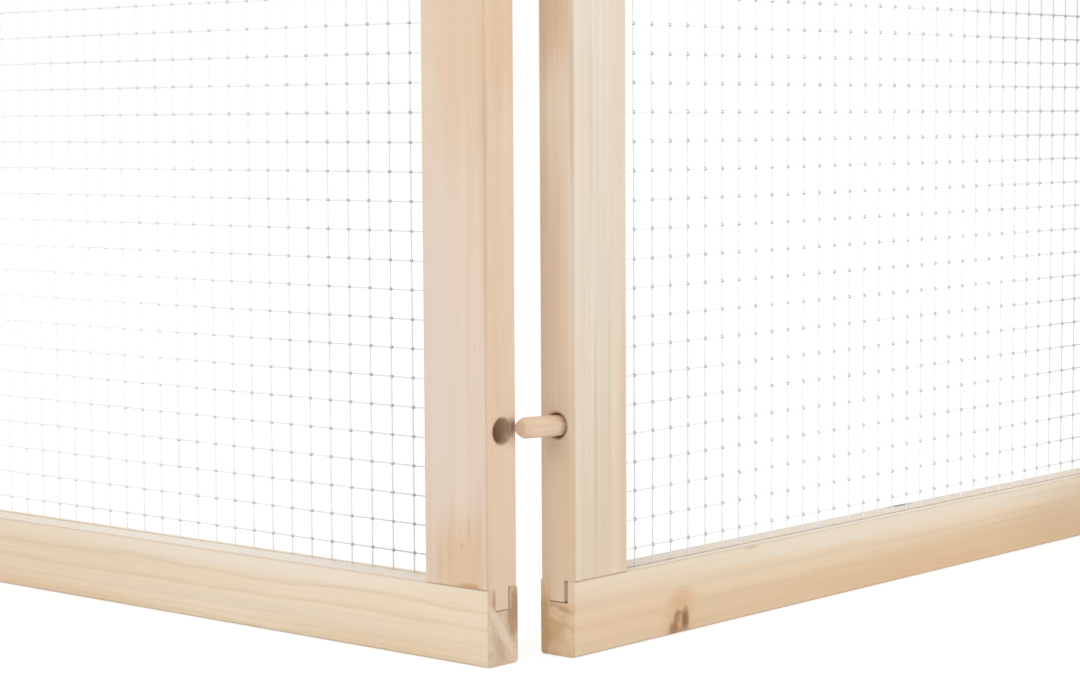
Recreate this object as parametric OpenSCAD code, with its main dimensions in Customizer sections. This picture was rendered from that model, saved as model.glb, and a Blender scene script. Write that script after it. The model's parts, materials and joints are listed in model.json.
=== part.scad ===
// Indoor pet run: four identical softwood frames with welded wire net,
// standing as two straight wings that meet at an open right-angled corner.
// Each wing is two frames plugged together edge to edge on two loose dowels.
// Millimetres, +Z up. The origin is on the floor, in the middle of the run's outline.

/* [Frames] */
// Length of one frame, along the floor
panel_len = 500; // [380:10:900]
// Height of one frame
panel_h = 460; // [340:10:800]
// Width of a stile, seen from the front
stile_w = 36; // [32:1:50]
// Height of a rail, seen from the front
rail_h = 33; // [28:1:50]
// Thickness of the timber
timber_t = 19; // [17:1:24]
// Radius of the eased long edges
ease_r = 1.5; // [0.5:0.25:2]

/* [Corner joints of a frame] */
// Length of the tongue on each end of a stile
tongue_len = 9.5; // [6:0.5:14]
// Thickness of the tongue
tongue_t = 8; // [6:0.5:9]
// Space left under the tongue in its mortise
tongue_end_gap = 0.5; // [0.2:0.1:1]

/* [Net] */
// Width of the saw kerf that holds the edge of the net
kerf_w = 2; // [1.6:0.1:3]
// Depth of the saw kerf
kerf_depth = 10; // [8:0.5:12]
// Thickness of the cheek outside the kerf
kerf_cheek = 4; // [3:0.5:5]
// Diameter of the wire
wire_d = 0.7; // [0.5:0.05:0.8]
// Spacing of the wires of the welded mesh
mesh_pitch = 12.7; // [10:0.1:25.4]
// One wire in this many is drawn
mesh_every = 2; // [2:1:4]
// How far the cut ends of the wires reach into the kerfs
net_tuck = 7; // [4:0.5:7.5]
// Space between the two layers of wire where they cross
layer_gap = 0.02; // [0.01:0.01:0.05]

/* [Dowels] */
// Diameter of the bores in the edges of the stiles
bore_d = 11; // [10:0.5:13]
// Height of the lower bores above the floor, and of the upper ones below the top
bore_inset = 99; // [60:1:150]
// Wood left between the bottom of a bore and the kerf
bore_web = 4; // [1:0.5:5]
// Diameter of the mark that the drill's point leaves in the bottom of a bore
point_d = 2; // [1:0.5:3]
// Depth of the drill point's mark
point_depth = 1.5; // [0.5:0.5:2]
// Diameter of a dowel
dowel_d = 9; // [7:0.5:9.5]
// Length of the tapered tip on each end of a dowel
dowel_tip = 3; // [1.5:0.5:5]
// Radius of the flat end of a dowel
dowel_end_r = 3; // [2:0.25:3.25]
// Clearance under a dowel that lies in its bore
dowel_seat_gap = 0.3; // [0.1:0.1:0.5]
// Clearance at each end of a dowel between two bores
dowel_float = 2; // [1.8:0.1:4]
// Empty depth behind a dowel that sticks out at the corner
corner_dowel_back = 5.3; // [5.3:0.1:9]

/* [Standing the frames] */
// Gap between the two frames of a wing
joint_gap = 0.3; // [0.1:0.1:1]
// Gap between the right wing's edge and the back of the left wing
corner_gap = 20.3; // [19:0.1:60]
// Clearance between the corner dowels and the left wing's edge
corner_dowel_gap = 0.3; // [0.3:0.1:4]

/* [Hidden] */
wood_color = "#E7CFB2";
rail_color = "#E4C9A4";
dowel_color = "#E0C3A0";
wire_color = "#C9CBCC";

arc_steps = 5;
stile_len = panel_h - 2 * rail_h;
mortise_depth = tongue_len + tongue_end_gap;
mortise_w = kerf_w + tongue_t;
bore_depth = stile_w - kerf_depth - bore_web;
bore_z = [bore_inset, panel_h - bore_inset];
dowel_len = 2 * bore_depth + joint_gap - 2 * dowel_float;
dowel_drop = bore_d / 2 - dowel_d / 2 - dowel_seat_gap;
// A corner dowel lies low at its inner end and leans up through the middle of its bore's mouth
corner_dowel_lean = atan(dowel_drop / (bore_depth - corner_dowel_back));
// Dowels half in each of two frames that stand in line end here
joint_dowel_x = panel_len + joint_gap / 2 + dowel_len / 2;
cut = 1;

// The net lies in the middle of the kerf, in two layers of straight wires
layer_step = (wire_d + layer_gap) / 2;
net_y = kerf_cheek + kerf_w / 2;
net_x0 = stile_w - net_tuck;
net_x1 = panel_len - net_x0;
net_z0 = rail_h - net_tuck;
net_z1 = panel_h - net_z0;
wire_step = mesh_pitch * mesh_every;
column_count = floor((net_x1 - net_x0) / wire_step);
row_count = floor((net_z1 - net_z0) / wire_step);
column_x0 = (panel_len - column_count * wire_step) / 2;

// Where each frame's outer bottom corner stands, before the run is centred
right_x = corner_dowel_gap + dowel_d / 2 + timber_t / 2;
right_y = timber_t + corner_gap;
run_x0 = -2 * panel_len - joint_gap;
run_y1 = right_y + 2 * panel_len + joint_gap;
run_centre = [(run_x0 + right_x) / 2, run_y1 / 2, 0];

// Outline of a planed bar, w by h from its corner, with its four edges eased
function eased_corner(cx, cy, from) = [
    for (i = [0 : arc_steps])
        [cx + ease_r * cos(from + 90 * i / arc_steps), cy + ease_r * sin(from + 90 * i / arc_steps)]
];
function eased_outline(w, h) = concat(
    eased_corner(w - ease_r, h - ease_r, 0),
    eased_corner(ease_r, h - ease_r, 90),
    eased_corner(ease_r, ease_r, 180),
    eased_corner(w - ease_r, ease_r, 270)
);

// A frame is drawn with its length along +X from its first edge, its net side
// at y = 0 and its back at y = timber_t.
module rail() {
    difference() {
        rotate([90, 0, 90])
            linear_extrude(height = panel_len)
                polygon(eased_outline(timber_t, rail_h));
        // Saw kerf for the net, along the whole inner edge
        translate([-cut, kerf_cheek, rail_h - kerf_depth])
            cube([panel_len + 2 * cut, kerf_w, kerf_depth + cut]);
        // Open mortise at each end, beside the kerf
        for (x = [-cut, panel_len - stile_w])
            translate([x, kerf_cheek, rail_h - mortise_depth])
                cube([stile_w + cut, mortise_w, mortise_depth + cut]);
    }
}

module top_rail() {
    translate([0, 0, panel_h])
        mirror([0, 0, 1])
            rail();
}

// The stile at the frame's first edge: its bores open at x = 0
module stile() {
    difference() {
        union() {
            translate([0, 0, rail_h])
                linear_extrude(height = stile_len)
                    polygon(eased_outline(stile_w, timber_t));
            // The core runs on past both shoulders as the tongues, beside the kerf
            translate([0, kerf_cheek + kerf_w, rail_h - tongue_len])
                cube([stile_w, tongue_t, stile_len + 2 * tongue_len]);
        }
        // Saw kerf for the net, along the whole inner edge
        translate([stile_w - kerf_depth, kerf_cheek, rail_h - tongue_len - cut])
            cube([kerf_depth + cut, kerf_w, stile_len + 2 * tongue_len + 2 * cut]);
        // Blind bores for the dowels, with the mark of the drill's point in their floors
        for (z = bore_z)
            translate([-cut, timber_t / 2, z])
                rotate([0, 90, 0]) {
                    cylinder(d = bore_d, h = bore_depth + cut, $fn = 48);
                    translate([0, 0, bore_depth + cut])
                        cylinder(d1 = point_d, d2 = 0, h = point_depth, $fn = 24);
                }
    }
}

module far_stile() {
    translate([panel_len, 0, 0])
        mirror([1, 0, 0])
            stile();
}

module net() {
    for (i = [0 : column_count])
        translate([column_x0 + i * wire_step, net_y + layer_step, net_z0])
            cylinder(d = wire_d, h = net_z1 - net_z0, $fn = 16);
    for (i = [0 : row_count])
        translate([net_x0, net_y - layer_step, net_z0 + i * wire_step])
            rotate([0, 90, 0])
                cylinder(d = wire_d, h = net_x1 - net_x0, $fn = 16);
}

// A dowel along X with its +X end at x, lying on the bottom of a bore at height z;
// lean lifts its other end
module dowel(x, z, lean = 0) {
    translate([x, timber_t / 2, z - dowel_drop])
        rotate([0, lean - 90, 0])
            rotate_extrude($fn = 48)
                polygon([
                    [0, 0], [dowel_end_r, 0], [dowel_d / 2, dowel_tip],
                    [dowel_d / 2, dowel_len - dowel_tip], [dowel_end_r, dowel_len], [0, dowel_len]
                ]);
}

// Places of the four frames. The left wing runs along -X with its net side
// at the back, the right wing along +Y with its net side outwards.
module on_left() {
    translate([0, timber_t, 0] - run_centre) rotate([0, 0, 180]) children();
}
module on_left_end() {
    translate([-panel_len - joint_gap, timber_t, 0] - run_centre) rotate([0, 0, 180]) children();
}
module on_right() {
    translate([right_x, right_y, 0] - run_centre) rotate([0, 0, 90]) children();
}
module on_right_end() {
    translate([right_x, right_y + panel_len + joint_gap, 0] - run_centre)
        rotate([0, 0, 90]) children();
}

module left_bottom_rail() { color(rail_color) on_left() rail(); }
module left_top_rail() { color(rail_color) on_left() top_rail(); }
module left_corner_stile() { color(wood_color) on_left() stile(); }
module left_joint_stile() { color(wood_color) on_left() far_stile(); }
module left_net() { color(wire_color) on_left() net(); }

module left_end_bottom_rail() { color(rail_color) on_left_end() rail(); }
module left_end_top_rail() { color(rail_color) on_left_end() top_rail(); }
module left_end_joint_stile() { color(wood_color) on_left_end() stile(); }
module left_end_outer_stile() { color(wood_color) on_left_end() far_stile(); }
module left_end_net() { color(wire_color) on_left_end() net(); }

module right_bottom_rail() { color(rail_color) on_right() rail(); }
module right_top_rail() { color(rail_color) on_right() top_rail(); }
module right_corner_stile() { color(wood_color) on_right() stile(); }
module right_joint_stile() { color(wood_color) on_right() far_stile(); }
module right_net() { color(wire_color) on_right() net(); }

module right_end_bottom_rail() { color(rail_color) on_right_end() rail(); }
module right_end_top_rail() { color(rail_color) on_right_end() top_rail(); }
module right_end_joint_stile() { color(wood_color) on_right_end() stile(); }
module right_end_outer_stile() { color(wood_color) on_right_end() far_stile(); }
module right_end_net() { color(wire_color) on_right_end() net(); }

// Dowels that stick out of the right wing's edge at the corner
module corner_dowel(z) {
    color(dowel_color) on_right() dowel(bore_depth - corner_dowel_back, z, corner_dowel_lean);
}
module corner_dowel_lower() { corner_dowel(bore_z[0]); }
module corner_dowel_upper() { corner_dowel(bore_z[1]); }
module left_joint_dowel_lower() { color(dowel_color) on_left() dowel(joint_dowel_x, bore_z[0]); }
module left_joint_dowel_upper() { color(dowel_color) on_left() dowel(joint_dowel_x, bore_z[1]); }
module right_joint_dowel_lower() { color(dowel_color) on_right() dowel(joint_dowel_x, bore_z[0]); }
module right_joint_dowel_upper() { color(dowel_color) on_right() dowel(joint_dowel_x, bore_z[1]); }

left_bottom_rail();
left_top_rail();
left_corner_stile();
left_joint_stile();
left_net();
left_end_bottom_rail();
left_end_top_rail();
left_end_joint_stile();
left_end_outer_stile();
left_end_net();
right_bottom_rail();
right_top_rail();
right_corner_stile();
right_joint_stile();
right_net();
right_end_bottom_rail();
right_end_top_rail();
right_end_joint_stile();
right_end_outer_stile();
right_end_net();
corner_dowel_lower();
corner_dowel_upper();
left_joint_dowel_lower();
left_joint_dowel_upper();
right_joint_dowel_lower();
right_joint_dowel_upper();
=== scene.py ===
"""Indoor pet run: planed softwood frames with galvanised welded net, plugged together on dowels."""
import json
import math

import bpy
from mathutils import Matrix, Vector

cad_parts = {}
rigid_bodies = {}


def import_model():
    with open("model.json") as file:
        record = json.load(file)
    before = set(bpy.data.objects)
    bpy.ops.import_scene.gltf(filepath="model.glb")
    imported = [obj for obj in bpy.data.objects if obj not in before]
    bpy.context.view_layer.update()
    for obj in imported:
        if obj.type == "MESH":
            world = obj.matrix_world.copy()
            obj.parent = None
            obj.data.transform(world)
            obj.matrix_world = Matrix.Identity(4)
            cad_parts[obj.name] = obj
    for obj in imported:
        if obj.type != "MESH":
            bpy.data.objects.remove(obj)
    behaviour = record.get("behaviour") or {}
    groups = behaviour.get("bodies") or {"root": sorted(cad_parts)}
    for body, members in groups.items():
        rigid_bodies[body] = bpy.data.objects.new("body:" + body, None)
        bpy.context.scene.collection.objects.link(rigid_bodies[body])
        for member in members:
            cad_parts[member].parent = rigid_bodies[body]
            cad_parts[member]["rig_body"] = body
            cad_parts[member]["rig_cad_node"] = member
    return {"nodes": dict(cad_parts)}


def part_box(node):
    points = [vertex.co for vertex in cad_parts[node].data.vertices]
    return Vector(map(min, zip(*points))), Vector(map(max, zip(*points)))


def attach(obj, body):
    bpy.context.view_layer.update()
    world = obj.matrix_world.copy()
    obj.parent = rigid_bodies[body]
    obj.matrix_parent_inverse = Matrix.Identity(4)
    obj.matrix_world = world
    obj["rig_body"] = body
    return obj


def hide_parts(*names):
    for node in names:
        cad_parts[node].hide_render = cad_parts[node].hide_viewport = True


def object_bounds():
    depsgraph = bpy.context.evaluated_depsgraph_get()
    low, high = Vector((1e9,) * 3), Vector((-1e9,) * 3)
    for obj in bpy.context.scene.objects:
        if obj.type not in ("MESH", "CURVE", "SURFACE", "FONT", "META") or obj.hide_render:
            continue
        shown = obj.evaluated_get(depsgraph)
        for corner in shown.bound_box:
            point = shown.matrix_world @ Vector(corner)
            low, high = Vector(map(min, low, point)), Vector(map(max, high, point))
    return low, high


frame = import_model()
cad_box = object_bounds()

MM = 0.001
X, Y, Z = 0, 1, 2
UP = Vector((0, 0, 1))

# The photographed corner: the left frame's edge plane, its front face and the floor.
left_stile_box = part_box("left_corner_stile")
CORNER = Vector((left_stile_box[1].x, left_stile_box[0].y, 0))
CORNER_MM = CORNER / MM
RUN_HEIGHT = cad_box[1].z

# Where the right frame's front face and its edge at the corner are from there, in mm.
right_rail_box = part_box("right_bottom_rail")
RIGHT_FACE_X = (right_rail_box[1].x - CORNER.x) / MM
RIGHT_EDGE_Y = (right_rail_box[0].y - CORNER.y) / MM

# Camera, as found from the net and the frames' edges in the photograph. Angles in degrees.
PHOTO_W = 1080
SENSOR_W = 36
FOCAL_PX = 2644.0
CAMERA_FROM_CORNER = Vector((0.7307, -0.8073, 0.2279))
CAMERA_AZIMUTH = 40.966
CAMERA_DOWN = 4.835
CAMERA_ROLL = -0.326

# The point that the lamps shine on, from the corner. Each soft box has an azimuth and a height
# in degrees, a distance and a size in metres, its watts and a colour. Azimuth 0 is in front of
# the left wing and 90 in front of the right one.
LIT_POINT = Vector((-0.10, 0.10, 0.16))
SOFT_BOXES = {
    "soft_box_front": (8, 38, 2.6, 2.0, 27, "#FFFDFA"),
    "soft_box_right": (118, 20, 2.8, 1.1, 24, "#FFFEFC"),
    "soft_box_back": (215, 50, 3.2, 2.6, 24, "#FFFFFF"),
}

# How bright the room is for what it lights; the camera sees it white.
WORLD_FILL = 0.50

# The paper floor as the camera sees it: how much lamplight it shows, and its own glow near
# the object and far away, which together come out just white.
FLOOR_SIZE = 24
FLOOR_Z = -0.2 * MM
SEEN_PAPER = 0.36
FLOOR_GLOW = (0.735, 0.85)
FLOOR_FADE = 3.2

# The bores in the stiles' edges, in mm, and how far past their ends their painted shade may go.
BORE_D = 11.0
BORE_DEPTH = 22.0
BORE_INSET = 99.0
BORE_MARGIN = 2

# The chamfer that sawing and sanding leave on the cut edges.
CUT_EDGE = 0.14 * MM

# The welded net. Its wires are cut into short lengths, so that they can sway.
MESH_PITCH = 12.7 * MM
WIRE_D = 0.62 * MM
WELD_SINK = 0.16 * MM
BEAD_R = 0.95 * MM
COLUMN_CUTS = 31
ROW_CUTS = 35
SWAY_LENGTH = 0.11
SWAY_ALONG = 0.7 * MM
SWAY_UP = 0.6 * MM

# One crossing of each net in the photograph, in mm: how far it is along the wing, from the left
# or the right frame's edge at the corner, and how high.
LEFT_CROSSING = (-55.16, 269.96)
RIGHT_CROSSING = (47.06, 269.66)

# Turns each timber's heart to a new side of it, in radians.
GOLDEN_ANGLE = 2.39996


def srgb(code):
    """A hex colour as the linear values that the shaders take."""
    parts = [int(code[i:i + 2], 16) / 255 for i in (1, 3, 5)]
    linear = [c / 12.92 if c <= 0.04045 else ((c + 0.055) / 1.055) ** 2.4 for c in parts]
    return (*linear, 1.0)


def grey(value):
    """A linear grey."""
    return (value, value, value, 1)


def node(tree, kind, settings=None, **inputs):
    """Adds a node. Settings are its properties; inputs are values or other nodes' outputs, by
    name or, as i0, i1 and so on, by number."""
    made = tree.nodes.new(kind)
    for name, value in (settings or {}).items():
        setattr(made, name, value)
    for name, value in inputs.items():
        numbered = name[0] == "i" and name[1:].isdigit()
        key = int(name[1:]) if numbered else name.replace("_", " ")
        if isinstance(value, bpy.types.NodeSocket):
            tree.links.new(value, made.inputs[key])
        else:
            made.inputs[key].default_value = value
    return made


def maths(tree, operation, *values, clamp=False):
    """The result of one sum on numbers or sockets."""
    inputs = {f"i{k}": value for k, value in enumerate(values)}
    settings = {"operation": operation, "use_clamp": clamp}
    return node(tree, "ShaderNodeMath", settings, **inputs).outputs[0]


def vectors(tree, operation, *values, output=0):
    """The result of one sum on vectors. Output 1 is a number, such as a length."""
    inputs = {f"i{k}": value for k, value in enumerate(values)}
    return node(tree, "ShaderNodeVectorMath", {"operation": operation}, **inputs).outputs[output]


def split(tree, vector):
    """The three parts of a vector."""
    return node(tree, "ShaderNodeSeparateXYZ", i0=vector).outputs


def blend(tree, factor, first, second, mode="MIX"):
    """Two colours mixed by a factor."""
    made = tree.nodes.new("ShaderNodeMix")
    made.data_type = "RGBA"
    made.blend_type = mode
    made.clamp_factor = True
    for index, value in ((0, factor), (6, first), (7, second)):
        if isinstance(value, bpy.types.NodeSocket):
            tree.links.new(value, made.inputs[index])
        else:
            made.inputs[index].default_value = value
    return made.outputs[2]


def ramp(tree, factor, stops, way="LINEAR"):
    """A colour that follows the stops."""
    made = node(tree, "ShaderNodeValToRGB", Fac=factor)
    ends = made.color_ramp
    ends.interpolation = way
    while len(ends.elements) < len(stops):
        ends.elements.new(0.5)
    for element, (place, colour) in zip(ends.elements, stops):
        element.position = place
        element.color = colour
    return made.outputs[0]


def curve(tree, factor, *stops, way="LINEAR"):
    """A value that follows the stops."""
    return ramp(tree, factor, [(place, grey(value)) for place, value in stops], way)


def shades(tree, factor, places, codes):
    """A colour that follows hex colours at the places."""
    return ramp(tree, factor, [(place, srgb(code)) for place, code in zip(places, codes)])


def shaded(tree, colour, factor, *stops):
    """A colour made darker or paler by a value that follows the stops."""
    return blend(tree, 1.0, colour, curve(tree, factor, *stops), "MULTIPLY")


def tinted(tree, colour, mask, amount, tint):
    """A colour with some of a tint where the mask is."""
    return blend(tree, maths(tree, "MULTIPLY", mask, amount), colour, srgb(tint))


def swing(tree, noise, amount):
    """Noise from 0 to 1 as a swing to both sides of 0."""
    return maths(tree, "MULTIPLY", maths(tree, "SUBTRACT", noise, 0.5), amount)


def stretched_noise(tree, position, scale, detail=2.0, roughness=0.5, output=0):
    """Noise read at a position in mm, with a size of its own along X, Y and Z. Output 1 is a
    colour, with other noise in each part."""
    squeezed = vectors(tree, "MULTIPLY", position, scale)
    return node(tree, "ShaderNodeTexNoise", {"noise_dimensions": "3D"}, Vector=squeezed, Scale=1.0,
                Detail=detail, Roughness=roughness).outputs[output]


def reach_from(tree, place, centre, size, turn=None):
    """How far a point is from an ellipsoid's centre, with 1 on its surface. The turn, if any, is
    an axis and degrees."""
    offset = vectors(tree, "SUBTRACT", place, centre)
    if turn:
        axis, degrees = turn
        offset = node(tree, "ShaderNodeVectorRotate", {"rotation_type": axis + "_AXIS"},
                      Vector=offset, Angle=math.radians(degrees)).outputs[0]
    offset = vectors(tree, "MULTIPLY", offset, [1.0 / s for s in size])
    return vectors(tree, "LENGTH", offset, output=1)


def spot(tree, place, centre, size, roughen, hard=0.25, turn=None):
    """1 inside an ellipsoid, fading to 0 outside it, with an edge that follows the noise."""
    reach = reach_from(tree, place, centre, size, turn)
    reach = maths(tree, "ADD", reach, swing(tree, roughen, 1.2))
    return curve(tree, reach, (hard, 1), (1.0, 0), way="EASE")


def new_material(name):
    """An empty material, its tree, the place on the object in mm and the surface's normal."""
    material = bpy.data.materials.new(name)
    material.use_nodes = True
    tree = material.node_tree
    tree.nodes.clear()
    coords = node(tree, "ShaderNodeTexCoord").outputs
    place = node(tree, "ShaderNodeVectorMath", {"operation": "SCALE"}, i0=coords["Object"],
                 Scale=1 / MM).outputs[0]
    return material, tree, place, coords["Normal"]


def board_place(tree, place, grain):
    """The same frame for every board: X along the fibres, Y and Z across them. Also gives the
    place along each axis across them."""
    axes = split(tree, place)
    across = [axes[k] for k in range(3) if k != grain]
    board = node(tree, "ShaderNodeCombineXYZ", i0=axes[grain], i1=across[0], i2=across[1])
    return board.outputs[0], across


def bare_wood(tree, colour, roughness, height, strength, depth):
    """The surface of wood without varnish, with its fine relief."""
    bump = node(tree, "ShaderNodeBump", Strength=strength, Distance=depth, Height=height)
    shader = node(tree, "ShaderNodeBsdfPrincipled", Base_Color=colour, Roughness=roughness,
                  IOR=1.45, Specular_IOR_Level=0.35, Normal=bump.outputs[0])
    node(tree, "ShaderNodeOutputMaterial", Surface=shader.outputs[0])


# Planed softwood, where a timber's own look doesn't say otherwise.
WOOD = dict(
    ring_spread=0.5, pale="#E4D2BC", warm="#E0C09C", line="#C9A57B", cool="#D6C8B0",
    cool_amount=0.4, streaks=0.8, end_tones=("#D8BB94", "#E3CBAB", "#EEDDC7"), end_lines=0.60,
    edge=None, top_painted_light=None, knot=None, stains_and_painted_shade=(), end_stains_and_painted_shade=(), marks=(),
    # Painted shade in the bores and round their mouths
    bore_shade="#B08D6E", rim_shade="#96724F")


def growth_rings(tree, board, across, knot, look):
    """How dense the wood is, from 0 to 1, in rings round the heart."""
    ring, seed, soft = look["ring"], look["seed"], look["soft"]
    # Trunks aren't straight, so the rings wander slowly along the board
    slow = stretched_noise(tree, board, (0.0042, 0.012, 0.012), detail=1.5, output=1)
    slow_parts = node(tree, "ShaderNodeSeparateColor", i0=slow).outputs
    ripple = stretched_noise(tree, board, (0.018, 0.10, 0.10))
    squares = []
    for part, axis_value, centre in zip(slow_parts, across, look["pith"]):
        offset = maths(tree, "SUBTRACT", axis_value, centre)
        offset = maths(tree, "ADD", offset, swing(tree, part, look["wander"] * 4))
        squares.append(maths(tree, "MULTIPLY", offset, offset))
    radius = maths(tree, "SQRT", maths(tree, "ADD", *squares))
    radius = maths(tree, "ADD", radius, maths(tree, "MULTIPLY", ripple, 2.0))
    if knot is not None:
        # A knot pushes the fibres aside
        push = maths(tree, "POWER", math.e, maths(tree, "MULTIPLY", knot, -0.8))
        radius = maths(tree, "ADD", radius, maths(tree, "MULTIPLY", push, ring * 1.6))
    # Good and bad summers: the years differ in width
    uneven = node(tree, "ShaderNodeTexNoise", {"noise_dimensions": "1D"}, Scale=1.0, Detail=1.0,
                  W=maths(tree, "MULTIPLY_ADD", radius, 0.6 / ring, seed * 3.1)).outputs[0]
    rings = maths(tree, "DIVIDE", radius, ring)
    rings = maths(tree, "ADD", rings, maths(tree, "MULTIPLY", uneven, look["ring_spread"] * 2))
    # Dense latewood builds up through the year and stops sharply; a slanting cut blurs it
    start, full = 0.62 - 0.50 * soft, 0.93 - 0.30 * soft
    late_line = curve(tree, maths(tree, "FRACT", rings), (0.0, 0.15 + 0.30 * soft),
                      (0.05 + 0.25 * soft, 0), (start, 0.03), ((start + full) / 2, 0.42),
                      (full, 1), (1.0, 0.20 + 0.30 * soft), way="EASE")
    # Each year has a strength of its own
    year = maths(tree, "ADD", maths(tree, "FLOOR", rings), seed * 17.0)
    strength = node(tree, "ShaderNodeTexWhiteNoise", {"noise_dimensions": "1D"}, W=year).outputs[0]
    return maths(tree, "MULTIPLY", late_line, maths(tree, "MULTIPLY_ADD", strength, 0.85, 0.15))


def face_colour(tree, place, board, density, streak, fibre, look):
    """The planed faces, with straight growth lines."""
    # Broad warm and pale bands, a few cm wide and a few dm long, with streaks inside them
    cloud = stretched_noise(tree, board, (0.0045, 0.035, 0.035))
    cloud = maths(tree, "ADD", maths(tree, "MULTIPLY", cloud, 0.7),
                  maths(tree, "MULTIPLY", streak, 0.3))
    cloud = curve(tree, cloud, (0.40, 0), (0.72, 1), way="EASE")
    colour = blend(tree, cloud, srgb(look["pale"]), srgb(look["warm"]))
    cool = stretched_noise(tree, board, (0.0028, 0.16, 0.16), detail=3.0, roughness=0.6)
    cool = curve(tree, cool, (0.50, 0), (0.68, look["cool_amount"]), way="EASE")
    colour = blend(tree, cool, colour, srgb(look["cool"]))
    colour = blend(tree, density, colour, srgb(look["line"]))
    depth = look["streaks"]
    colour = shaded(tree, colour, streak, (0.30, 1 - 0.055 * depth), (0.5, 1),
                    (0.70, 1 + 0.04 * depth))
    colour = shaded(tree, colour, fibre, (0.25, 1 - 0.06 * depth), (0.5, 1),
                    (0.75, 1 + 0.035 * depth))
    # Resin canals: fine short dashes, a little darker than the wood
    dash = stretched_noise(tree, board, (0.055, 2.6, 2.6), detail=1.0)
    colour = shaded(tree, colour, dash, (0.68, 1), (0.76, 0.90))
    # Stains, and patches of painted shade and shadow
    for centre, size, tint, amount in look["stains_and_painted_shade"]:
        colour = tinted(tree, colour, spot(tree, place, centre, size, streak), amount, tint)
    return colour


def end_colour(tree, place, board, grain, rings, fuzz, look):
    """The sawn ends, which show the rings as arcs on browner, fuzzier wood."""
    blotch = stretched_noise(tree, board, (0.05, 0.11, 0.11))
    colour = shades(tree, blotch, (0.35, 0.55, 0.72), look["end_tones"])
    colour = tinted(tree, colour, rings, look["end_lines"], "#B89570")
    # Stains on the ends, and patches of painted shade
    for centre, size, tint, amount, *degrees in look["end_stains_and_painted_shade"]:
        turn = ("XY"[grain], degrees[0]) if degrees else None
        mask = spot(tree, place, centre, size, blotch, turn=turn)
        colour = tinted(tree, colour, mask, amount, tint)
    return shaded(tree, colour, fuzz, (0.3, 0.90), (0.7, 1.06))


def facing_colour_and_painted_light(tree, colour, facing, look):
    """What differs with the way a surface faces, with painted light on tops and shade on arrises.
    """
    flat = [maths(tree, "ABSOLUTE", part) for part in facing]
    if look["edge"]:
        # The narrow faces were cut across the rings, and look warmer
        axis, tint = look["edge"]
        warmer = blend(tree, 1.0, colour, srgb(tint), "MULTIPLY")
        colour = blend(tree, curve(tree, flat[axis], (0.45, 0), (0.8, 1)), colour, warmer)
    if look["top_painted_light"]:
        # The top faces are painted paler: painted light from above
        painted_top_light_mask = curve(tree, facing[Z], (0.55, 0), (0.95, 0.65))
        colour = blend(tree, painted_top_light_mask, colour, srgb(look["top_painted_light"]))
    # The arrises are painted a shade darker and duller: partly sanding wear, partly painted shade
    # that damps the highlight the rounded arrises catch
    flatness = maths(tree, "MAXIMUM", maths(tree, "MAXIMUM", flat[X], flat[Y]), flat[Z])
    return tinted(tree, colour, curve(tree, flatness, (0.74, 1), (0.97, 0)), 0.50, "#D0B294")


def painted_bore_shade(tree, colour, place, fuzz, bore, look):
    """Painted shade on the wall of a bore, where little light gets in, and a little on its rim."""
    centre, axis, radius, half_depth = bore
    parts = split(tree, vectors(tree, "SUBTRACT", place, centre))
    squares = [maths(tree, "MULTIPLY", parts[k], parts[k]) for k in range(3) if k != axis]
    gap = maths(tree, "SUBTRACT", maths(tree, "SQRT", maths(tree, "ADD", *squares)), radius)
    gap = maths(tree, "ADD", gap, swing(tree, fuzz, 0.3))
    gap = maths(tree, "MULTIPLY_ADD", gap, 0.5, 0.5)
    near = maths(tree, "LESS_THAN", maths(tree, "ABSOLUTE", parts[axis]), half_depth)
    # Painted shade on the wall inside the bore
    wall = curve(tree, gap, (0.54, 0.50), (0.60, 0))
    colour = tinted(tree, colour, wall, near, look["bore_shade"])
    # Painted shade on a thin ring round the bore's mouth
    rim = curve(tree, gap, (0.54, 0), (0.60, 0.70), (0.80, 0.45), (1.0, 0))
    return tinted(tree, colour, rim, near, look["rim_shade"])


def knot_colour(tree, colour, knot, fuzz):
    """A knot: its own rings are small and dark, and the wood round it is browner."""
    halo = curve(tree, maths(tree, "DIVIDE", knot, 3.2), (0.28, 0.50), (1.0, 0), way="EASE")
    colour = blend(tree, halo, colour, srgb("#D3A77A"))
    around = maths(tree, "MULTIPLY_ADD", maths(tree, "SUBTRACT", fuzz, 0.5), 0.35, knot)
    heart = shades(tree, around, (0.0, 0.40, 0.60, 0.78, 0.95),
                   ("#CFAC89", "#CCA782", "#C59C74", "#BC916A", "#CBA57E"))
    return blend(tree, curve(tree, around, (0.84, 1), (1.0, 0)), colour, heart)


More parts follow.
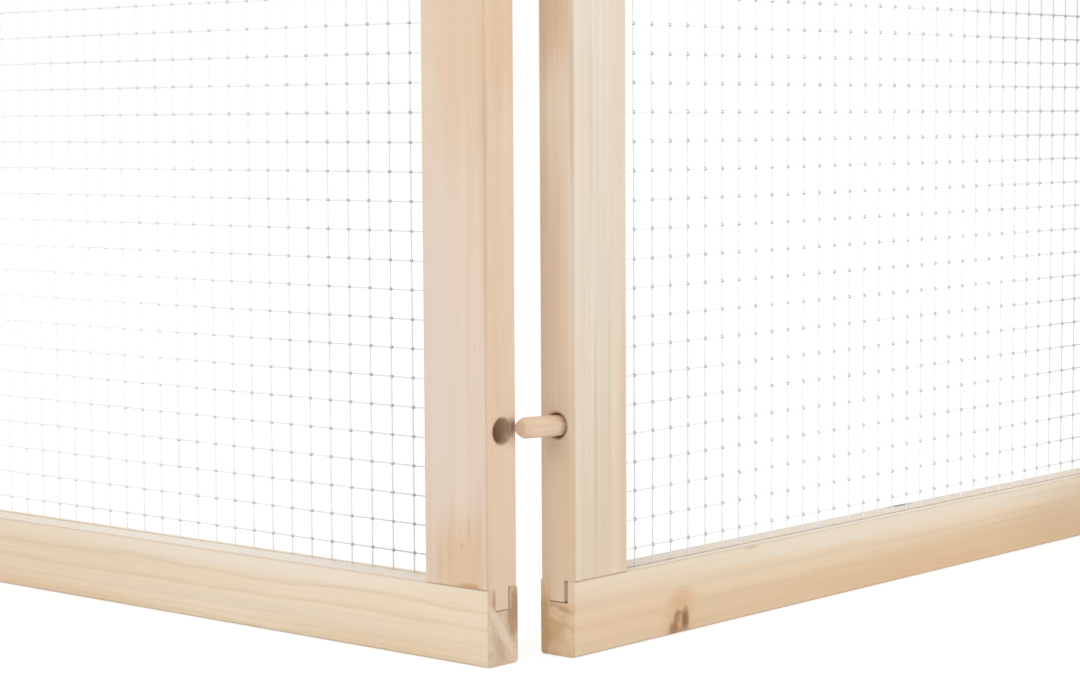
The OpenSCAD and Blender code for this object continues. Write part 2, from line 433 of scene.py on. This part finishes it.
def planed_softwood(name, grain, look, bores=()):
    """Planed spruce or pine, left bare: growth rings cut lengthways give straight tan lines on
    the faces and arcs on the sawn ends. grain is the axis along the fibres. Each bore is a
    centre, an axis, a radius and half a depth, in mm."""
    look = {**WOOD, **look}
    material, tree, place, normal = new_material(name)
    facing = split(tree, normal)
    board, across = board_place(tree, place, grain)
    # Every board is cut from another part of the noise
    board = vectors(tree, "ADD", board, [look["seed"] * step for step in (911.0, 37.0, 53.0)])
    knot = reach_from(tree, place, *look["knot"]) if look["knot"] else None
    rings = growth_rings(tree, board, across, knot, look)
    density = maths(tree, "MULTIPLY", rings, look["contrast"])
    streak = stretched_noise(tree, board, (0.0035, 0.27, 0.27), detail=3.0, roughness=0.55)
    # Fibres, about a third of a millimetre across and drawn out along the board
    fibre = stretched_noise(tree, board, (0.014, 1.5, 1.5), detail=3.0, roughness=0.65)
    # The saw tears them on the ends
    fuzz = stretched_noise(tree, board, (0.8, 0.55, 0.55), detail=4.0, roughness=0.7)
    end_face = curve(tree, maths(tree, "ABSOLUTE", facing[grain]), (0.55, 0), (0.8, 1))
    colour = face_colour(tree, place, board, density, streak, fibre, look)
    sawn = end_colour(tree, place, board, grain, rings, fuzz, look)
    colour = facing_colour_and_painted_light(tree, blend(tree, end_face, colour, sawn), facing, look)
    # Painted shade in the bores
    for bore in bores:
        colour = painted_bore_shade(tree, colour, place, fuzz, bore, look)
    if knot is not None:
        colour = knot_colour(tree, colour, knot, fuzz)
    for centre, size, tint, amount in look["marks"]:
        colour = tinted(tree, colour, spot(tree, place, centre, size, 0.5), amount, tint)
    height = maths(tree, "MULTIPLY_ADD", fibre, 0.5, maths(tree, "MULTIPLY", density, 0.5))
    torn = maths(tree, "MULTIPLY", maths(tree, "MULTIPLY", fuzz, end_face), 2.0)
    height = maths(tree, "ADD", height, torn)
    roughness = maths(tree, "MULTIPLY_ADD", fibre, 0.16, 0.52)
    roughness = maths(tree, "MAXIMUM", roughness, maths(tree, "MULTIPLY", end_face, 0.85))
    bare_wood(tree, colour, roughness, height, 0.4, 0.12 * MM)
    return material


def turned_dowel(name, grain):
    """A turned birch or beech dowel, left bare: even and fine, with short flecks along it."""
    material, tree, place, normal = new_material(name)
    board = board_place(tree, place, grain)[0]
    band = stretched_noise(tree, board, (0.02, 0.35, 0.35))
    fleck = stretched_noise(tree, board, (0.16, 3.0, 3.0))
    colour = shades(tree, band, (0.3, 0.55, 0.75), ("#E5CBB4", "#E0C3A8", "#D8B899"))
    colour = shaded(tree, colour, fleck, (0.3, 0.92), (0.55, 1), (0.8, 1.03))
    facing = maths(tree, "ABSOLUTE", split(tree, normal)[grain])
    colour = blend(tree, curve(tree, facing, (0.3, 0), (0.9, 0.6)), colour, srgb("#D6B697"))
    bare_wood(tree, colour, 0.55, fleck, 0.3, 0.1 * MM)
    return material


def galvanised_wire(name, tones, dull_and_shade_tone, shine, glare=None):
    """Zinc-dipped steel wire: bright silver, with random grey and matt weathering. Zones of painted
    shade make it greyer, painted light keeps it bright round the corner only, and in the zone of
    painted glare it is painted paler and more metallic."""
    material, tree, place, normal = new_material(name)
    pool = stretched_noise(tree, place, (0.07, 0.07, 0.07), detail=3.0)
    colour = shades(tree, pool, (0.3, 0.5, 0.7), tones)
    cloud = stretched_noise(tree, place, (0.013, 0.013, 0.013))
    weathering_and_painted_shade = curve(tree, cloud, (0.40, 0.05), (0.80, 0.22))
    roughen = maths(tree, "MULTIPLY_ADD", cloud, 0.4, 0.3)
    # Painted shade: zones where the wires are painted greyer and more matt
    for centre, size, amount in PAINTED_SHADE_ZONES:
        zone = spot(tree, place, centre, size, roughen, hard=0.0)
        weathering_and_painted_shade = maths(tree, "MAXIMUM", weathering_and_painted_shade, maths(tree, "MULTIPLY", zone, amount))
    # The side that faces into the run is greyer and more matt than the outer side
    inner = vectors(tree, "DOT_PRODUCT", normal, INWARDS, output=1)
    weathering_and_painted_shade = maths(tree, "MAXIMUM", weathering_and_painted_shade, curve(tree, inner, (0.05, 0), (0.45, 0.85)))
    # Painted light keeps the wires bright round the corner only; beyond that they turn grey and
    # matt all over
    for value, edge, fade in zip(split(tree, place), PAINTED_LIGHT_TO, PAINTED_LIGHT_FADE):
        beyond = maths(tree, "MULTIPLY_ADD", value, 1 / fade, -edge / fade)
        beyond = maths(tree, "ADD", beyond, swing(tree, cloud, 1.0), clamp=True)
        weathering_and_painted_shade = maths(tree, "MAXIMUM", weathering_and_painted_shade, beyond)
    # Painted glare: in this zone the wires are painted paler and more metallic
    if glare:
        centre, size, amount = glare
        gloss = spot(tree, place, centre, size, roughen, hard=0.0)
        gloss = maths(tree, "MULTIPLY", gloss, amount)
        colour = blend(tree, gloss, colour, srgb("#FAFBFB"))
        shine = maths(tree, "MAXIMUM", gloss, shine)
    colour = blend(tree, weathering_and_painted_shade, colour, srgb(dull_and_shade_tone))
    fresh_and_lit = maths(tree, "SUBTRACT", 1.0, weathering_and_painted_shade)
    roughness = maths(tree, "MULTIPLY_ADD", fresh_and_lit, -0.22, 0.50)
    roughness = maths(tree, "MULTIPLY_ADD", pool, 0.20, roughness)
    shader = node(tree, "ShaderNodeBsdfPrincipled", Base_Color=colour, Roughness=roughness,
                  Metallic=maths(tree, "MULTIPLY", fresh_and_lit, shine))
    node(tree, "ShaderNodeOutputMaterial", Surface=shader.outputs[0])
    return material


def at(x, y, z):
    """A point in mm from the photographed corner: x along the left wing, y along the right one."""
    return (CORNER_MM.x + x, CORNER_MM.y + y, CORNER_MM.z + z)


def on_right(along, z, out=0):
    """A point on the right frame's front face, in mm along it from its edge at the corner."""
    return at(RIGHT_FACE_X + out, RIGHT_EDGE_Y + along, z)


def on_right_edge(x, z):
    """A point on the right frame's edge at the corner, in mm."""
    return at(x, RIGHT_EDGE_Y, z)


FRAMES = {
    "left": dict(grain=X, stiles=("corner", "joint")),
    "left_end": dict(grain=X, stiles=("joint", "outer")),
    "right": dict(grain=Y, stiles=("corner", "joint")),
    "right_end": dict(grain=Y, stiles=("joint", "outer")),
}

# What each timber looks like where the photograph shows it; the rest vary round the same wood.
# pith is the heart's place across the fibres and ring a year's width, in mm. soft is how much a
# slanting cut blurs the rings, wander how far they stray and contrast how strongly they show.
# Stains and patches of painted shade, on the faces and on the ends, and marks are each a centre and
# a reach in mm, a colour and an amount, and for some on the ends a turn in degrees; a knot is a
# centre and a reach. edge is the axis across the narrow faces and a tint.
LOOKS = {
    "left_bottom_rail": dict(
        pith=at(0, 39.5, 37.6)[1:], ring=3.1, ring_spread=0.8, soft=0.25, contrast=0.46,
        pale="#F1E0C9", warm="#EED7B8", line="#D4B68C", cool="#ECDDC9", streaks=0.9, wander=1.6,
        seed=1.0, top_painted_light="#EFEAE0", end_tones=("#D2BCA1", "#DBC8AF", "#E4D4BE"), end_lines=0.16,
        stains_and_painted_shade=[(at(-150, 0, 33), (260, 20, 9), "#F3E8DA", 0.65),
                (at(-300, 0, 2), (150, 12, 8), "#E6C9A4", 0.55),
                (at(-60, 0, 3), (80, 12, 6), "#E8CDA9", 0.35)],
        # The two on the back cheek are partly painted shade from the slot beside it, partly its
        # darker end grain
        end_stains_and_painted_shade=[(at(0, 16.8, 27), (3, 5, 11), "#A88664", 0.85),
                    (at(0, 16, 17), (3, 6, 9), "#AD8E6C", 0.85),
                    (at(0, 7.0, 8.5), (3, 3.2, 13), "#C2A78B", 0.65, -35),
                    (at(0, 4.2, 28.5), (3, 2.0, 6), "#BE8A72", 0.70),
                    (at(0, 10.6, 12.6), (3, 3.0, 20), "#E5D1BE", 0.85, -35)]),
    "right_bottom_rail": dict(
        pith=(at(3, 0, 0)[0], -14.0), ring=7.5, ring_spread=0.7, soft=0.75, contrast=0.30,
        pale="#E5D0B4", warm="#E1C4A3", line="#CDA980", cool="#DFCCB0", streaks=0.8, wander=2.0,
        seed=2.3, top_painted_light="#F0EBE3", end_tones=("#DABD99", "#E2C6A5", "#E9D1B2"), end_lines=0.25,
        knot=(on_right(72, 5.5), (9.0, 4.6, 5.6)),
        stains_and_painted_shade=[(on_right(260, 31), (10, 380, 12), "#E8DDCB", 0.80),
                (on_right(20, 31), (10, 60, 8), "#EAD9C4", 0.50),
                (on_right(340, 8), (10, 280, 15), "#DBBB94", 0.68),
                (on_right(440, 14), (10, 120, 28), "#C9AE8E", 0.45),
                (on_right(40, 12), (10, 60, 9), "#E3C2A3", 0.45),
                (on_right(75, 15.5), (6, 16, 6), "#D6AE82", 0.50),
                (on_right(126, 32), (4, 9, 1.8), "#C4A987", 0.40)],
        end_stains_and_painted_shade=[(on_right_edge(12.6, 28), (4.4, 3, 9), "#E8D5BC", 0.85),
                    (on_right_edge(4, 12.5), (9, 3, 7), "#BE9E74", 0.55),
                    (on_right_edge(7.5, 20.6), (10, 3, 2.0), "#A88560", 0.50, -14),
                    (on_right_edge(-2.5, 8), (3, 3, 22), "#B99670", 0.45)],
        marks=[(on_right(76.6, 5.8), (4, 3.6, 7.8), "#7A5536", 0.82),
               (on_right(70.6, 7.4), (4, 3.0, 4.8), "#9A7450", 0.65),
               (on_right(67.8, 2.6), (4, 4.6, 4.8), "#946C4C", 0.75),
               (on_right(274, 33, -17), (4, 14, 3), "#6F675A", 0.90)]),
    "left_corner_stile": dict(
        pith=at(-92, 34, 0)[:2], ring=6.4, ring_spread=0.7, soft=0.9, contrast=0.22,
        pale="#E8D7C8", warm="#E6D2BC", line="#D8B894", cool="#E4D6C9", cool_amount=0.15,
        streaks=0.5, wander=2.0, seed=3.7, edge=(X, "#FAF3E9"), bore_shade="#B18F75",
        rim_shade="#A9876A",
        stains_and_painted_shade=[(at(-14, 0, 262), (24, 9, 80), "#E4C3A0", 0.55),
                (at(-31.5, 0, 250), (7, 9, 60), "#E4D4BC", 0.55),
                (at(-28, 0, 130), (14, 8, 95), "#E5D6CA", 0.45),
                (at(0, 10, 262), (4, 16, 40), "#DFBB96", 0.35),
                (at(-16, 0, 42), (22, 9, 34), "#E1BD95", 0.65),
                (at(-10.2, 0, 57), (1.6, 3, 11), "#D2A577", 0.35),
                (at(-14.2, 0, 50.4), (1.1, 3, 2.6), "#C79468", 0.40),
                (at(-21, 0, 46), (1.8, 3, 14), "#D8AE84", 0.28),
                (at(-27, 0, 42), (2.0, 3, 12), "#D9B18A", 0.25),
                (at(-4.5, 0, 60), (2.0, 3, 26), "#D6B08B", 0.25),
                (at(-11, 0, 33.5), (9, 3, 2.2), "#CC9559", 0.75),
                # Painted shade along the front arris, which damps the highlight that it catches
                (at(-0.5, 0.5, 200), (2.6, 2.8, 130), "#CFAD8E", 0.30),
                (at(-0.5, 0.8, 228), (2.8, 3.0, 30), "#C7A180", 0.20),
                # Painted shadow of the corner dowel on the edge, beside the lower bore
                (at(0, 14.8, 100), (3, 6.6, 5.4), "#7E6253", 0.62)]),
    "right_corner_stile": dict(
        pith=at(6, RIGHT_EDGE_Y + 128, 0)[:2], ring=4.7, ring_spread=0.6, soft=0.75,
        contrast=0.30, pale="#E8DCCF", warm="#E3D1BA", line="#CDB795", cool="#DDD0BD",
        cool_amount=0.45, streaks=0.5, wander=1.5, seed=4.9, edge=(Y, "#FFFBF4"),
        bore_shade="#E2C8A8",
        stains_and_painted_shade=[(on_right(33, 80), (6, 4.2, 120), "#DEC29F", 0.75),
                (on_right(14.5, 90), (4, 1.6, 75), "#CFC0A0", 0.60),
                (on_right(24, 110), (4, 1.2, 90), "#D3C4A6", 0.50),
                (on_right(11.8, 230), (4, 2.0, 85), "#CBBEA6", 0.40),
                (on_right(22, 55), (6, 24, 75), "#D9C0A0", 0.30),
                (on_right(0, 240, -0.8), (1.8, 2.6, 50), "#BDA682", 0.35),
                (on_right_edge(3, 276), (14, 4, 42), "#CCA583", 0.52),
                (on_right_edge(2, 165), (12, 3, 80), "#D3B498", 0.45),
                (on_right(0, 75, -4), (8, 3, 70), "#DBC0A2", 0.40)]),
}

# The net's zinc. The zones of painted shade and of painted glare are each a centre and a reach in
# mm, and an amount. The painted light round the corner reaches to the first point below and fades
# out over the distances after it, in mm along X, Y and Z.
# The line and cross wires' zinc is painted near white: painted light for the glare that washes the
# wires out
ZINC_AND_GLARE_TONES = ("#F6F7F8", "#F9FAFA", "#FCFCFC")
WELD_TONES = ("#B9BCBE", "#C1C4C6", "#CACCCE")
# Zones of painted shade, where the wires are painted greyer
PAINTED_SHADE_ZONES = [(at(0, 13, 60), (300, 90, 400), 0.38),
             (at(0, 13, 0), (190, 90, 230), 0.78),
             (on_right(30, 80, -5), (90, 170, 230), 0.36),
             (on_right(490, 350, -5), (90, 300, 290), 1.0),
             (on_right(500, 110, -5), (90, 210, 270), 0.72)]
# The zone of painted glare
PAINTED_GLARE_ZONE = (at(-370, 13, 200), (330, 60, 420), 0.95)
# The painted light round the corner reaches this far, and fades out over the distances below
PAINTED_LIGHT_TO = at(-345, RIGHT_EDGE_Y + 520, 335)
PAINTED_LIGHT_FADE = (-110, 110, 70)
INWARDS = (-0.707, 0.707, 0)


def look_of(name, grain, index):
    """The wood of a timber that the photograph doesn't show."""
    centre = [part / MM for part in (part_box(name)[0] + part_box(name)[1]) / 2]
    across = [k for k in range(3) if k != grain]
    turn = GOLDEN_ANGLE * index
    # The heart is 40 to 84 mm away, outside the timber
    away = 62 + 22 * math.sin(index * 1.7)
    heart = (centre[across[0]] + away * math.cos(turn), centre[across[1]] + away * math.sin(turn))
    return dict(pith=heart, ring=4.6 + 1.2 * math.sin(index * 2.3), wander=2.2,
                soft=0.4 + 0.3 * math.sin(index * 1.3), contrast=0.50 + 0.1 * math.sin(index),
                seed=6.1 + index * 1.37)


def bores_of(name, run, near_corner):
    """The bores of a stile as (centre, axis, radius, half depth), all in mm. run is the axis
    that the frame runs along."""
    low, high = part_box(name)
    # The left wing runs towards -X, so its edges near the corner have the highest X
    at_high = near_corner == (run == X)
    edge = (high if at_high else low)[run] / MM
    centre = (low + high) / 2 / MM
    found = []
    for z in (BORE_INSET, RUN_HEIGHT / MM - BORE_INSET):
        point = [centre.x, centre.y, z]
        point[run] = edge + (-1 if at_high else 1) * BORE_DEPTH / 2
        found.append((point, run, BORE_D / 2, BORE_DEPTH / 2 + BORE_MARGIN))
    return found


def deselect():
    bpy.ops.object.select_all(action="DESELECT")


def activate(piece):
    deselect()
    piece.select_set(True)
    bpy.context.view_layer.objects.active = piece


def apply_modifiers(piece):
    activate(piece)
    for modifier in list(piece.modifiers):
        bpy.ops.object.modifier_apply(modifier=modifier.name)


def finished_timber(name):
    """A copy of one timber of the frame, with a hair-fine chamfer on its cut edges."""
    source = frame["nodes"][name]
    piece = source.copy()
    piece.data = source.data.copy()
    piece.name = name + "_finished"
    piece.data.name = piece.name
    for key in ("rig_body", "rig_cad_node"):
        if key in piece:
            del piece[key]
    piece.parent = None
    bpy.context.scene.collection.objects.link(piece)
    activate(piece)
    bpy.ops.object.mode_set(mode="EDIT")
    bpy.ops.mesh.select_all(action="SELECT")
    bpy.ops.mesh.remove_doubles(threshold=0.01 * MM)
    bpy.ops.mesh.dissolve_limited(angle_limit=math.radians(0.5))
    bpy.ops.object.mode_set(mode="OBJECT")
    chamfer = piece.modifiers.new("cut_edges", "BEVEL")
    chamfer.width = CUT_EDGE
    chamfer.segments = 2
    chamfer.limit_method = "ANGLE"
    chamfer.angle_limit = math.radians(50)
    chamfer.use_clamp_overlap = True
    apply_modifiers(piece)
    bpy.ops.object.shade_smooth_by_angle(angle=math.radians(35))
    return piece


def repeat(piece, count, offset):
    """Repeats a piece in a row."""
    array = piece.modifiers.new("repeat", "ARRAY")
    array.count = count
    array.use_relative_offset = False
    array.use_constant_offset = True
    array.constant_offset_displace = offset
    apply_modifiers(piece)


def straight_wire(material, middle, length, axis, cuts):
    """One wire along an axis, cut across into short lengths."""
    turn = [0, 0, 0]
    if axis != Z:
        turn[Y if axis == X else X] = math.radians(90)
    bpy.ops.mesh.primitive_cylinder_add(vertices=8, radius=WIRE_D / 2, depth=length,
                                        location=middle, rotation=turn)
    piece = bpy.context.object
    piece.data.materials.append(material)
    bpy.ops.object.transform_apply(location=True, rotation=True, scale=True)
    bpy.ops.object.mode_set(mode="EDIT")
    bpy.ops.mesh.select_all(action="DESELECT")
    bpy.ops.object.mode_set(mode="OBJECT")
    for edge in piece.data.edges:
        a, b = (piece.data.vertices[v].co for v in edge.vertices)
        edge.select = abs(a[axis] - b[axis]) > length / 2
    bpy.ops.object.mode_set(mode="EDIT")
    bpy.ops.mesh.subdivide_edgering(number_cuts=cuts, smoothness=0)
    bpy.ops.object.mode_set(mode="OBJECT")
    return piece


def welded_net(name, along, crossing, column_wire, row_wire, weld):
    """Straight wires in two layers with a weld bead at each crossing. along is the axis that the
    frame runs along; crossing is a place along it and a height where two wires meet."""
    low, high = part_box(name)
    across = X + Y - along
    first_column, first_row = (
        place - math.floor((place - start) / MESH_PITCH) * MESH_PITCH
        for place, start in zip(crossing, (low[along], low.z)))
    columns = math.floor((high[along] - first_column) / MESH_PITCH) + 1
    rows = math.floor((high.z - first_row) / MESH_PITCH) + 1
    centre = (low + high) / 2
    layer = (WIRE_D - WELD_SINK) / 2
    step = Vector((0, 0, 0))
    step[along] = MESH_PITCH

    def place_at(column, out, z):
        point = Vector((0, 0, z))
        point[along] = column
        point[across] = centre[across] + out
        return point

    uprights = straight_wire(column_wire, place_at(first_column, -layer, centre.z),
                             high.z - low.z, Z, COLUMN_CUTS)
    repeat(uprights, columns, step)
    lines = straight_wire(row_wire, place_at(centre[along], layer, first_row),
                          high[along] - low[along], along, ROW_CUTS)
    repeat(lines, rows, UP * MESH_PITCH)
    # Weld beads: zinc and steel squeezed out round each crossing
    bpy.ops.mesh.primitive_ico_sphere_add(subdivisions=1, radius=BEAD_R,
                                          location=place_at(first_column, 0, first_row))
    beads = bpy.context.object
    beads.data.materials.append(weld)
    bpy.ops.object.transform_apply(location=True, rotation=True, scale=True)
    repeat(beads, columns, step)
    repeat(beads, rows, UP * MESH_PITCH)
    activate(uprights)
    for piece in (lines, beads):
        piece.select_set(True)
    bpy.ops.object.join()
    net = bpy.context.object
    net.name = name + "_welded"
    # The net was never pulled quite straight
    waves = bpy.data.textures.new(net.name + "_waves", "CLOUDS")
    waves.noise_scale = SWAY_LENGTH
    for axis, strength in (("XY"[along], SWAY_ALONG), ("Z", SWAY_UP)):
        sway = net.modifiers.new("sway_" + axis, "DISPLACE")
        sway.texture = waves
        sway.texture_coords = "LOCAL"
        sway.direction = axis
        sway.mid_level = 0.5
        sway.strength = strength
    apply_modifiers(net)
    bpy.ops.object.shade_smooth_by_angle(angle=math.radians(50))
    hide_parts(name)
    return net


def dress(piece, body, material=None):
    """Gives a piece its body and, unless it has its own, its material."""
    if material:
        piece.data.materials.clear()
        piece.data.materials.append(material)
    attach(piece, body)


def make_camera():
    """The photograph's camera."""
    data = bpy.data.cameras.new("camera")
    data.sensor_width = SENSOR_W
    data.lens = FOCAL_PX / PHOTO_W * SENSOR_W
    data.clip_start, data.clip_end = 0.05, 50
    camera = bpy.data.objects.new("camera", data)
    bpy.context.scene.collection.objects.link(camera)
    azimuth, down = math.radians(CAMERA_AZIMUTH), math.radians(CAMERA_DOWN)
    look = Vector((-math.sin(azimuth) * math.cos(down), math.cos(azimuth) * math.cos(down),
                   -math.sin(down)))
    aimed = look.to_track_quat("-Z", "Y").to_matrix().to_4x4()
    rolled = aimed @ Matrix.Rotation(math.radians(CAMERA_ROLL), 4, "Z")
    camera.matrix_world = Matrix.Translation(CORNER + CAMERA_FROM_CORNER) @ rolled
    bpy.context.scene.camera = camera


def area_light(name, aim, azimuth, height_angle, distance, size, watts, colour):
    """A soft box that shines on aim from an azimuth and a height, both in degrees."""
    data = bpy.data.lights.new(name, "AREA")
    data.shape = "SQUARE"
    data.size = size
    data.energy = watts
    data.color = srgb(colour)[:3]
    lamp = bpy.data.objects.new(name, data)
    bpy.context.scene.collection.objects.link(lamp)
    a, e = math.radians(azimuth), math.radians(height_angle)
    away = Vector((math.sin(a) * math.cos(e), -math.cos(a) * math.cos(e), math.sin(e)))
    lamp.location = aim + away * distance
    lamp.rotation_euler = (-away).to_track_quat("-Z", "Y").to_euler()


def seen_ray(tree):
    """1 for rays from the camera, from gloss and through glass, which show the backdrop."""
    path = node(tree, "ShaderNodeLightPath").outputs
    seen = maths(tree, "MAXIMUM", path["Is Camera Ray"], path["Is Glossy Ray"])
    return maths(tree, "MAXIMUM", seen, path["Is Transmission Ray"])


def make_room():
    """A white room, which lights the object less than it shows."""
    world = bpy.data.worlds.new("white_room")
    bpy.context.scene.world = world
    world.use_nodes = True
    tree = world.node_tree
    tree.nodes.clear()
    strength = maths(tree, "MULTIPLY_ADD", seen_ray(tree), 1.0 - WORLD_FILL, WORLD_FILL)
    sky = node(tree, "ShaderNodeBackground", Color=grey(1), Strength=strength)
    node(tree, "ShaderNodeOutputWorld", Surface=sky.outputs[0])


def make_floor():
    """White paper, seen just white and no brighter, or the thin wires in front of it would be
    lost. It keeps a faint shadow, and glows more where the lamps reach less."""
    bpy.ops.mesh.primitive_plane_add(size=FLOOR_SIZE, location=(0, 0, FLOOR_Z))
    floor = bpy.context.object
    floor.name = "floor"
    material, tree, place, _ = new_material("white paper sweep")
    seen = seen_ray(tree)
    paper = node(tree, "ShaderNodeBsdfDiffuse",
                 Color=blend(tree, seen, srgb("#FCFCFC"), grey(SEEN_PAPER)))
    away = vectors(tree, "LENGTH", place, output=1)
    lift = curve(tree, maths(tree, "DIVIDE", away, FLOOR_FADE / MM), (0.15, FLOOR_GLOW[0]),
                 (1.0, FLOOR_GLOW[1]))
    glow = node(tree, "ShaderNodeEmission", Color=grey(1),
                Strength=maths(tree, "MULTIPLY", seen, lift))
    both = node(tree, "ShaderNodeAddShader", i0=paper.outputs[0], i1=glow.outputs[0])
    node(tree, "ShaderNodeOutputMaterial", Surface=both.outputs[0])
    floor.data.materials.append(material)


def make_timber(name, grain, index, body, bores=()):
    """Finishes one timber of a frame. The index varies the wood that the photo doesn't show."""
    look = LOOKS.get(name) or look_of(name, grain, index)
    piece = finished_timber(name)
    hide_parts(name)
    dress(piece, body, planed_softwood("planed spruce, " + name, grain, look, bores))


def make_frames():
    crossings = {
        X: (CORNER.x + LEFT_CROSSING[0] * MM, LEFT_CROSSING[1] * MM),
        Y: (CORNER.y + (RIGHT_EDGE_Y + RIGHT_CROSSING[0]) * MM, RIGHT_CROSSING[1] * MM),
    }
    finishes = (
        galvanised_wire("galvanised steel, line wires", ZINC_AND_GLARE_TONES, "#C2C6C9", 0.92),
        galvanised_wire("galvanised steel, cross wires", ZINC_AND_GLARE_TONES, "#8D9399", 0.92),
        galvanised_wire("galvanised steel, spot welded", WELD_TONES, "#ABAFB2", 0.75, PAINTED_GLARE_ZONE))
    index = 0
    for frame_name, facts in FRAMES.items():
        run = facts["grain"]
        body = frame_name + "_frame"
        for rail in ("bottom_rail", "top_rail"):
            make_timber(f"{frame_name}_{rail}", run, index, body)
            index += 1
        for stile in facts["stiles"]:
            name = f"{frame_name}_{stile}_stile"
            bores = bores_of(name, run, stile == facts["stiles"][0])
            make_timber(name, Z, index, body, bores)
            index += 1
        net = welded_net(frame_name + "_net", run, crossings[run], *finishes)
        dress(net, body)


def make_dowels():
    for joint, grain in (("corner", Y), ("left_joint", X), ("right_joint", Y)):
        for level in ("lower", "upper"):
            name = f"{joint}_dowel_{level}"
            piece = finished_timber(name)
            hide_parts(name)
            dress(piece, name, turned_dowel("turned birch, " + name, grain))


bpy.context.scene.view_settings.view_transform = "Standard"
make_camera()
for lamp_name, lamp_facts in SOFT_BOXES.items():
    area_light(lamp_name, CORNER + LIT_POINT, *lamp_facts)
make_room()
make_floor()
make_frames()
make_dowels()
deselect()
